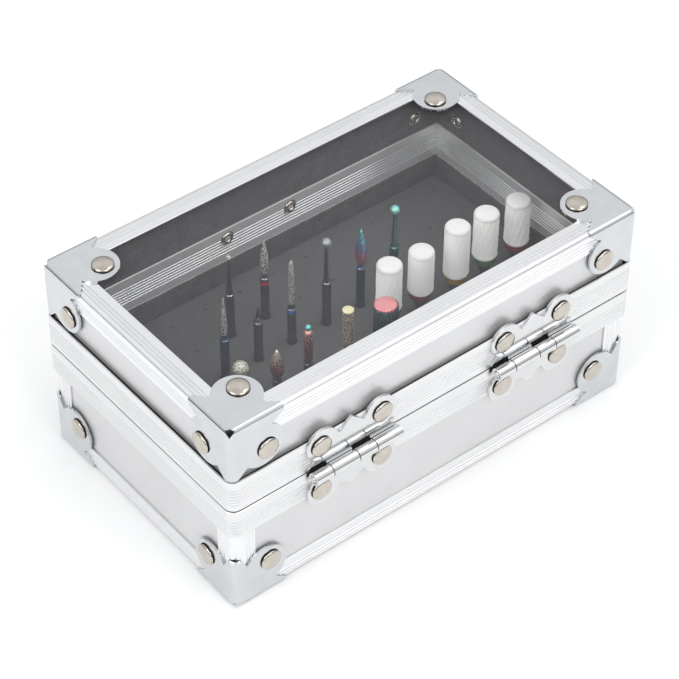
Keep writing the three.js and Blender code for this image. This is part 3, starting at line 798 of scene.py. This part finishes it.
lid_low, lid_high = [corner[2] for corner in node_box("lid_lining")]
base_low = node_box("base_lining")[0][2]
piece("lid_lining_cloth", lining(BOARD_IN + 0.02, lid_low, lid_high, 0.0), lining_grey, "lid",
      ["lid_lining"])
piece("base_lining_cloth", lining(RIM_INNER + 0.02, base_low, BASE_MEETING, BASE_WOBBLE), lining_grey,
      "base", ["base_lining"])

# ---- bits ----
PITCH_X = 10.9  # the grid of holes in the foam
PITCH_Y = 11.5
COLUMNS = 11
ROWS = 6
SHANK_R = 1.175
SHANK_FOOT = 3.2
SHANK_BEVEL = 0.25
BALL_SHOULDER = 40.5  # where the necks of the ball bits start
RING_HEIGHT = 1.0
RING_PROUD = 0.04
# Slots: 0 the shank, 1 the head, 2 a painted ring or collar, 3 the crown of a drum.


def grid_point(column, row):
    """The middle of a place in the foam. Column 0 is in the middle and row 0 at the latch."""
    return column * PITCH_X, (row - (ROWS - 1) / 2) * PITCH_Y


def shank(top):
    """The shank up to its shoulder, with a small bevel at both ends."""
    narrow = SHANK_R - SHANK_BEVEL
    return [(0, SHANK_FOOT, 0), (narrow, SHANK_FOOT, 0), (SHANK_R, SHANK_FOOT + SHANK_BEVEL, 0),
            (SHANK_R, top - SHANK_BEVEL, 0), (narrow, top, 0)]


def ball_bit(centre, radius, neck=0.4):
    """A ball on a neck that tapers up from the shoulder."""
    low = -math.degrees(math.acos(neck / radius))
    ball = [(r, z, 1) for r, z in arc((0, centre), radius, low, 90, 16)[:-1]]
    return [*shank(BALL_SHOULDER), (SHANK_R * 0.72, BALL_SHOULDER + 0.2, 0), (neck, ball[0][1], 1),
            *ball, (0, centre + radius, 1)]


def pointed_bit(low, tip, swell, scale=1.0):
    """A head whose radius follows swell from its lower end to the tip."""
    body = [(scale * share, low + (tip - low) * k / len(swell), 1) for k, share in enumerate(swell)]
    return [*shank(low - 1.2), (SHANK_R * 0.62, low - 0.5, 0), *body, (0, tip, 1)]


def drum_bit(low, top, radius, round_off, collar, crown=0.25):
    """A drum with a rounded, slightly domed top, on a painted collar and a flange."""
    rise = top - crown - round_off
    shoulder = [(r, z, 3) for r, z in arc((radius - round_off, rise), round_off, 0, 90, 6)]
    steps = 44
    body = [(radius, low + 0.5 + (rise - low - 0.5) * k / steps, 1) for k in range(steps)]
    foot = low - collar
    hub_r, hub_foot = 1.9, foot - 2.4
    collar_r = radius - 0.35
    return [*shank(hub_foot), (SHANK_R, hub_foot, 0), (hub_r, foot - 2.1, 0),
            (hub_r, foot, 2), (radius - 0.45, foot, 2), (collar_r, foot + 0.2, 2),
            (collar_r, low - 0.15, 1), (radius - 0.25, low, 1), *body, *shoulder,
            ((radius - round_off) * 0.5, top - crown * 0.3, 3), (0, top, 3)]


def tube_bit(top):
    """A slim straight head with a small ball at its tip."""
    tube_r, ball_r = 1.1, 0.8
    ball = [(r, z, 2) for r, z in arc((0, top - ball_r), ball_r, -60, 75, 9)]
    return [*shank(top - 11.7), (ball_r, top - 11.1, 1), (tube_r, top - 10.5, 1), (tube_r, top - 2.3, 1),
            (ball_r, top - 1.7, 1), *ball, (0, top, 2)]


def cross_cut(low, high, depth):
    """Flutes that cross in both directions, cut into the drum between low and high."""
    count = 26
    lead = 79.21875  # height in which a flute would go once round the drum
    run_out = 0.8  # height over which the flutes fade at both ends

    def shape(radius, z, angle):
        if not low <= z <= high:
            return radius
        fade = min(1, (z - low) / run_out, (high - z) / run_out)
        twist = 2 * math.pi * (z - low) / lead
        first = math.sin(count * (angle + twist))
        second = math.sin(count * 0.5 * (angle - twist))
        return radius - depth * fade * (0.65 * (1 - first) + 0.35 * (1 - second)) / 2
    return shape


def teeth(low, high):
    """Straight cutting teeth round a drum. The middle of its top stays plain."""
    count, depth, twist, plain = 20, 0.5, 0.006, 1.2

    def shape(radius, z, angle):
        if not low <= z <= high or radius < plain:
            return radius
        phase = (count * (angle / (2 * math.pi) + (z - low) * twist)) % 1
        return radius - depth * phase
    return shape


def ringed(profile, low):
    """Adds a thin painted band round the shank."""
    at = next(k for k, point in enumerate(profile) if point[1] > low)
    high = low + RING_HEIGHT
    ring = [(SHANK_R, low - 0.01, 2), (SHANK_R + RING_PROUD, low, 2), (SHANK_R + RING_PROUD, high, 2),
            (SHANK_R, high + 0.01, 0)]
    return profile[:at] + ring + profile[at:]


# Radii of the pointed heads from their lower end to the tip, in millimetres or shares of a scale.
FLAME = (0.62, 0.86, 0.98, 1.0, 0.97, 0.89, 0.77, 0.61, 0.43, 0.24)
TAPER = (0.62, 0.78, 0.88, 0.90, 0.87, 0.84, 0.81, 0.78, 0.75, 0.72, 0.69, 0.66, 0.6, 0.42)
SLENDER = (0.6, 0.8, 0.84, 0.82, 0.77, 0.71, 0.64, 0.56, 0.47, 0.37, 0.27, 0.2)
TORPEDO = (0.62, 0.86, 0.97, 1.0, 1.0, 0.98, 0.93, 0.85, 0.73, 0.58, 0.4, 0.25)

silver_grit = grit("silver_grit", (0.05, 0.05, 0.05), (0.92, 0.91, 0.88))
pearl_grit = grit("pearl_grit", (0.20, 0.20, 0.15), (0.90, 0.89, 0.80))
spark_grit = grit("spark_grit", (0.16, 0.05, 0.06), (0.95, 0.86, 0.72))
rainbow_grit = banded("rainbow_grit", 40.6, 51.8, [
    (0.0, (0.55, 0.22, 0.24)), (0.3, (0.50, 0.18, 0.26)), (0.5, (0.16, 0.24, 0.45)),
    (0.75, (0.14, 0.36, 0.50)), (1.0, (0.25, 0.65, 0.62))], 2.0)
gold_grit = banded("gold_grit", 45.0, 53.5, [
    (0.0, (0.16, 0.08, 0.07)), (0.3, (0.55, 0.16, 0.22)), (0.5, (0.30, 0.22, 0.16)),
    (0.7, (0.75, 0.60, 0.50)), (1.0, (0.85, 0.82, 0.72))], 2.2)
pink_grit = banded("pink_grit", 40.0, 54.0, [
    (0.0, (0.10, 0.04, 0.06)), (0.4, (0.50, 0.16, 0.18)), (0.7, (0.16, 0.10, 0.16)),
    (1.0, (0.75, 0.40, 0.36))], 2.2)
green_ball = banded("green_ball", 50.8, 53.6, [
    (0.0, (0.08, 0.30, 0.30)), (0.4, (0.10, 0.55, 0.45)), (0.7, (0.45, 0.80, 0.65)),
    (1.0, (0.20, 0.60, 0.70))])
# Painted glints: the near-white last stop paints bright highlights on the teeth near their top.
teal_tooth_and_glint = banded("teal_tooth_and_glint", 40.0, 50.6, [
    (0.0, (0.04, 0.09, 0.10)), (0.5, (0.06, 0.16, 0.18)), (0.9, (0.14, 0.30, 0.32)),
    (1.0, (0.85, 0.9, 0.9))], 3.0)
pink_top = banded("pink_top", 46.0, 52.0, [
    (0.0, (0.80, 0.26, 0.34)), (0.5, (0.86, 0.34, 0.38)), (1.0, (0.90, 0.50, 0.30))], 1.2)
green_top = banded("green_top", 54.2, 55.8, [
    (0.0, (0.05, 0.30, 0.25)), (0.5, (0.10, 0.60, 0.45)), (0.8, (0.10, 0.50, 0.55)),
    (1.0, (0.40, 0.80, 0.80))])
grey_ball = finish("grey_ball", (0.42, 0.45, 0.48), (0.30, 0.32, 0.35), (0.3, 0.5), metallic=0.8,
                   grain=3, depth=0.08, mottle=0.8)
pale_top = enamel("pale_top", (0.80, 0.74, 0.45))
ring_paint = {color: enamel(f"{color}_ring", tone) for color, tone in {
    "red": (0.42, 0.02, 0.03),
    "pink": (0.36, 0.07, 0.09),
    "yellow": (0.62, 0.36, 0.05),
    "green": (0.12, 0.30, 0.12),
    "blue": (0.05, 0.12, 0.40),
}.items()}
bit_places = {}


def bit(node, place, profile, materials, shape=None, sides=40, in_cad=True):
    """Turns a bit and stands it in the foam. place is its column, its row and an offset along X."""
    column, row, offset = place
    x, y = grid_point(column, row)
    bit_places[column, row] = (x + offset, y)
    made = placed(turned(profile, sides, shape), Matrix.Translation((x + offset, y, 0)))
    piece(f"{node}_turned" if in_cad else node, made, materials, "base", [node] if in_cad else ())


bit("bit_flame_grit", (1, 1, 0.4), ringed(pointed_bit(41.2, 52.4, TORPEDO, 1.08), 37.8),
    [dark_steel, silver_grit, ring_paint["red"]])
bit("bit_needle", (3, 2, -0.3), pointed_bit(40.7, 52.8, SLENDER), [blue_steel, silver_grit])
bit("bit_taper", (1, 2, 0.8), ringed(pointed_bit(39.2, 53.7, TAPER), 36.5),
    [dark_steel, silver_grit, ring_paint["blue"]])
bit("bit_ball_grey", (0, 2, 0.6), ball_bit(53, 1.35), [dark_steel, grey_ball])
bit("bit_flame_rainbow", (-1, 2, 0.5), pointed_bit(40.6, 51.8, FLAME, 1.6), [blue_steel, rainbow_grit])
bit("bit_ball_green", (-2, 2, 0.5), ball_bit(52.2, 1.25), [teal_steel, green_ball])

# Column, offset, foot and top of the drum, depth of its flutes, colour of its collar.
CERAMIC_BITS = [
    (-1, 0.8, 34.2, 48.6, 0.22, "red"),
    (-2, 1.3, 34.2, 47.4, 0.05, "pink"),
    (-3, 0.4, 33.4, 49.2, 0.07, "yellow"),
    (-4, 1.6, 34.4, 48.6, 0.32, "green"),
    (-5, 1.6, 33.4, 47.2, 0.32, "red"),
]
for k, (column, offset, low, top, cut, color) in enumerate(CERAMIC_BITS, 1):
    bit(f"bit_ceramic_{k}", (column, 3, offset), drum_bit(low, top, 3.35, 0.9, 2.0),
        [dark_steel, white_ceramic, ring_paint[color], ceramic_top_shaded],
        cross_cut(low + 0.5, top - 1.0, cut), sides=208)

bit("bit_ball_large", (4, 4, 0.8), ball_bit(53.5, 1.95), [dark_steel, pearl_grit])
bit("bit_bullet", (3, 4, 1.1), pointed_bit(45.1, 53.5, FLAME, 1.75), [dark_steel, gold_grit])
bit("bit_barrel_grit", (1, 4, 1.4), drum_bit(40.5, 54, 1.45, 0.2, 0.6, 0.05),
    [dark_steel, spark_grit, dark_steel, pale_top])
bit("bit_carbide", (0, 4, 0.5), drum_bit(37, 49.4, 3.15, 0.5, 1.2),
    [dark_steel, teal_tooth_and_glint, dark_steel, pink_top], shape=teeth(37.3, 49.45), sides=200)
bit("bit_ball_white", (2, 1, 0.4), ball_bit(52.1, 0.75, neck=0.3), [dark_steel, pearl_grit],
    in_cad=False)
bit("bit_needle_dark", (2, 2, 0.3), pointed_bit(40.5, 44.0, SLENDER, 0.6), [dark_steel, dark_steel],
    in_cad=False)
bit("bit_ball_teal", (2, 4, 2.6), tube_bit(55.7), [dark_steel, pink_grit, green_top], in_cad=False)

# ---- foam ----
HOLE_SIDES = 14
HOLE_DEPTH = 6.0
DIMPLE_R = 0.5  # the pricked places of the grid that hold no bit


def foam():
    """The foam block: a sheet with a blind hole under every bit and a dimple at every other place."""
    loops = []
    for row in range(ROWS):
        for k in range(COLUMNS):
            place = (k - (COLUMNS - 1) // 2, row)
            used = place in bit_places
            radius = SHANK_R + 0.2 if used else DIMPLE_R + rng.uniform(-0.08, 0.12)
            depth = HOLE_DEPTH if used else rng.uniform(0.2, 0.5)
            loops.append((bit_places.get(place, grid_point(*place)), radius, depth))
    outline = [(x * FOAM_HALF_X, y * FOAM_HALF_Y) for x, y in RECTANGLE]
    rings = [arc(centre, radius, 0, 360 - 360 / HOLE_SIDES, HOLE_SIDES - 1)
             for centre, radius, _ in loops]
    flat, triangles = filled(outline, rings)
    top = solid([(x, y, FOAM_TOP) for x, y in flat], triangles)
    floor = [k + HOLE_SIDES for k in range(HOLE_SIDES)]
    wells = []
    for ((cx, cy), _, depth), ring in zip(loops, rings):
        rim = [(x, y, FOAM_TOP) for x, y in ring]
        foot = [(cx + (x - cx) * 0.9, cy + (y - cy) * 0.9, FOAM_TOP - depth) for x, y in ring]
        wells.append(solid(rim + foot, [*skirt(HOLE_SIDES), floor]))
    box_points = [(x, y, z) for z in (FOAM_TOP, FOAM_LOW) for x, y in outline]
    return merged(top, *wells, solid(box_points, [*skirt(4), [4, 5, 6, 7]]))


foam_piece = piece("foam_insert", foam(), foam_grey, "base", ["foam_block"])

# ---- hinges ----
LEAF = 0.8  # sheet thickness of the leaves
PIN_R = 0.8
AXIS_Y, AXIS_Z = [c + PIN_R for c in node_box("hinge_left_pin")[0][1:]]
HINGE_X = 28.4
LEAF_HALF = 13.2
LEAF_FOOT = 1.25  # heights from the axis
GABLE = [(3.6, 8.2), (0, 11.4), (-3.6, 8.2)]
LOBE = (8.7, 7.5, 4.6)  # x, z and radius of the lobe round a rivet
HINGE_RIVET = (9.2, 7.2)
RELIEF_R = 0.45  # round cuts between the knuckles
KNUCKLES = (13.2, 8.0, 0.2, -5.2, -13.2)  # ends of the knuckles
KNUCKLE_GAP = 0.13
BARREL_R = 1.7
CURL = 0.72  # sheet thickness in the rolled knuckles
CURL_ANGLE = 306
CURL_STEPS = 28
STRIP_TOP = 2.6  # where a knuckle's strip leaves the leaf
STRIP_BEND = 2.0  # and where it starts to step outwards
BEND_STEPS = 6
BARREL_SHADE = (0.14, 1.5)  # painted shade: dark strips behind the barrels, heights from the axis
BARREL_SHADE_HALF = LEAF_HALF - 0.3
BARREL_SHADE_SHEET = (RIM_FACE + 0.02, RIM_FACE + 0.1)


def leaf_outline():
    """Two round lobes and a pointed gable above a foot with relief cuts. Heights are from the axis."""
    x, z, radius = LOBE
    right = arc((x, z), radius, -62, 158, 26)
    left = [(-u, v) for u, v in reversed(right)]
    foot = [point for at in reversed(KNUCKLES[1:-1])
            for point in arc((at, LEAF_FOOT), RELIEF_R, 180, 0, 8)]
    return [(-LEAF_HALF, LEAF_FOOT), *foot, (LEAF_HALF, LEAF_FOOT), *right, *GABLE, *left]


def knuckle_strip(x0, x1):
    """A strip that leaves the leaf between x0 and x1, steps outwards and rolls round the pin."""
    leaf_line = RIM_FACE - AXIS_Y + LEAF / 2
    middle = BARREL_R - CURL / 2
    path = [(leaf_line, STRIP_TOP), (leaf_line, STRIP_BEND)]
    for k in range(1, BEND_STEPS + 1):
        ease = (1 - math.cos(math.pi * k / BEND_STEPS)) / 2
        path.append((leaf_line + (-middle - leaf_line) * ease, STRIP_BEND * (1 - k / BEND_STEPS)))
    path += arc((0, 0), -middle, 0, CURL_ANGLE, CURL_STEPS)[1:]
    points = []
    for k, (y, z) in enumerate(path):
        before, after = path[max(k - 1, 0)], path[min(k + 1, len(path) - 1)]
        along = Vector((after[0] - before[0], after[1] - before[1])).normalized()
        across = Vector((-along.y, along.x)) * CURL / 2
        points += [[x, y + sign * across.x, z + sign * across.y] for x in (x0, x1) for sign in (1, -1)]
    faces = []
    for a in range(0, len(points) - 4, 4):
        b = a + 4
        faces += [[a, b, b + 2, a + 2], [a + 1, a + 3, b + 3, b + 1], [a, a + 1, b + 1, b],
                  [a + 2, b + 2, b + 3, a + 3]]
    end = len(points) - 4
    faces += [[0, 2, 3, 1], [end, end + 1, end + 3, end + 2]]
    return solid(points, faces)


def hinge_leaf(own, flip):
    """A leaf and its own knuckles, about the hinge axis. flip is -1 for the lower leaf, turned over."""
    away = RIM_FACE - AXIS_Y
    plate = sheet(leaf_outline(), LEAF, lambda u, v, depth: (u, away + LEAF - depth, v))
    rolls = [knuckle_strip(KNUCKLES[k + 1] + KNUCKLE_GAP, KNUCKLES[k] - KNUCKLE_GAP) for k in own]
    points, faces, slots = merged(plate, *rolls)
    return [[x, y, z * flip] for x, y, z in points], faces, slots


def pin_rod():
    """The hinge pin, its ends chamfered."""
    half = [(PIN_R, LEAF_HALF - 0.15), (PIN_R - 0.15, LEAF_HALF), (0, LEAF_HALF)]
    return turned([(r, -z) for r, z in reversed(half)] + half, 24)


for side, sign in ENDS:
    x = sign * HINGE_X
    at = Matrix.Translation((x, AXIS_Y, AXIS_Z))
    for half, own, body, flip in (("upper", (1, 3), "lid", 1), ("lower", (0, 2), "base", -1)):
        node = f"hinge_{side}_{half}_leaf"
        piece(f"{node}_pressing", placed(hinge_leaf(own, flip), at), bright_chrome, body, [node],
              0.2)
        z = AXIS_Z + HINGE_RIVET[1] * flip
        tail = RIM_FACE + LEAF - HALF_Y + RIM_INNER if flip > 0 else None
        for end, way in ENDS:
            rivet(f"{node}_{end}", (x + way * HINGE_RIVET[0], RIM_FACE + LEAF, z), (0, 1, 0), body, tail)
    # Painted shade: a dark strip on the rim behind each barrel, where the gap between leaf and barrel shows
    # shade.
    for body, (low, high) in (("lid", BARREL_SHADE), ("base", [-z for z in reversed(BARREL_SHADE)])):
        near, far = BARREL_SHADE_SHEET
        shade = block((x - BARREL_SHADE_HALF, near, AXIS_Z + low), (x + BARREL_SHADE_HALF, far, AXIS_Z + high))
        piece(f"hinge_{side}_{body}_barrel_shade", shade, painted_gap_shade, body)
    piece(f"hinge_{side}_pin_rod", placed(pin_rod(), at @ Matrix.Rotation(math.pi / 2, 4, "Y")),
          bright_chrome, "base", [f"hinge_{side}_pin"])

# ---- latch: the CAD solids with their own finish, and the two rivet tails inside the lid ----
refinish("latch_", bright_chrome)

LATCH_RIVET_X = 10.1
LATCH_RIVET_Z = PARTING + 7
for end, sign in ENDS:
    on_wall = (sign * LATCH_RIVET_X, RIM_INNER - HALF_Y, LATCH_RIVET_Z)
    piece(f"latch_rivet_tail_{end}", stood(rivet_tail(), on_wall, (0, 1, 0)), warm_nickel, "lid")

# ---- floor, lights, camera ----
FLOOR = 4  # metres from the middle to each edge
floor = bpy.data.objects.new("floor", bpy.data.meshes.new("floor"))
floor.data.from_pydata([(x * FLOOR, y * FLOOR, 0) for x, y in RECTANGLE], [], [(0, 1, 2, 3)])
scene.collection.objects.link(floor)
floor_white, _, shader = new_material("floor_white")
wire(shader, Base_Color=(0.975, 0.975, 0.975, 1), Roughness=0.7)
floor.data.materials.append(floor_white)

# The sky's tone by height: dark at the horizon, and brightest half way up.
SKY = [(0.0, (0.05, 0.05, 0.055)), (0.11, (0.06, 0.06, 0.065)), (0.19, (0.86, 0.87, 0.88)),
       (0.5, (0.88, 0.89, 0.90)), (0.62, (1.22, 1.23, 1.24)), (0.8, (1.22, 1.23, 1.24)),
       (1.0, (0.95, 0.96, 0.97))]
world = bpy.data.worlds.new("studio")
world.use_nodes = True
scene.world = world
sky = world.node_tree
height = add(sky, "SeparateXYZ", Vector=add(sky, "TexCoord").outputs["Generated"]).outputs["Z"]
wire(sky.nodes["Background"], Color=ramp(sky, height, SKY), Strength=0.815)

# Soft square lamps: place and side in metres, power in watts.
LAMPS = {
    "hinge_side": ((0.0, 0.87, 0.68), 0.6, 2.9),
    "end_side": ((0.866, 0.08, 0.68), 0.6, 2.9),
    "overhead": ((-0.60, 0.26, 1.10), 0.5, 1.5),
}
LAMP_TARGET = Vector((0, 0, 0.03))
for name, (place, size, power) in LAMPS.items():
    data = bpy.data.lights.new(name, "AREA")
    data.shape = "RECTANGLE"
    data.size = data.size_y = size
    data.energy = power
    lamp = bpy.data.objects.new(name, data)
    lamp.location = place
    lamp.rotation_euler = (LAMP_TARGET - Vector(place)).to_track_quat("-Z", "Y").to_euler()
    scene.collection.objects.link(lamp)

AZIMUTH = math.radians(141.08)
ELEVATION = math.radians(42.963)
ROLL = math.radians(0.2965)
DISTANCE = 615.5
TARGET = Vector((1.13, 0.16, 25.2))
FOCAL_LENGTH = 129.42
SENSOR = 36
turn = (Matrix.Rotation(AZIMUTH, 4, "Z") @ Matrix.Rotation(math.pi / 2 - ELEVATION, 4, "X")
        @ Matrix.Rotation(ROLL, 4, "Z"))
camera = bpy.data.objects.new("camera", bpy.data.cameras.new("camera"))
camera.data.lens = FOCAL_LENGTH
camera.data.sensor_width = SENSOR
camera.data.clip_start = 0.01
camera.matrix_world = (Matrix.Translation(TARGET * MM) @ turn
                       @ Matrix.Translation((0, 0, DISTANCE * MM)))
scene.collection.objects.link(camera)
scene.camera = camera
scene.view_settings.view_transform = "Standard"
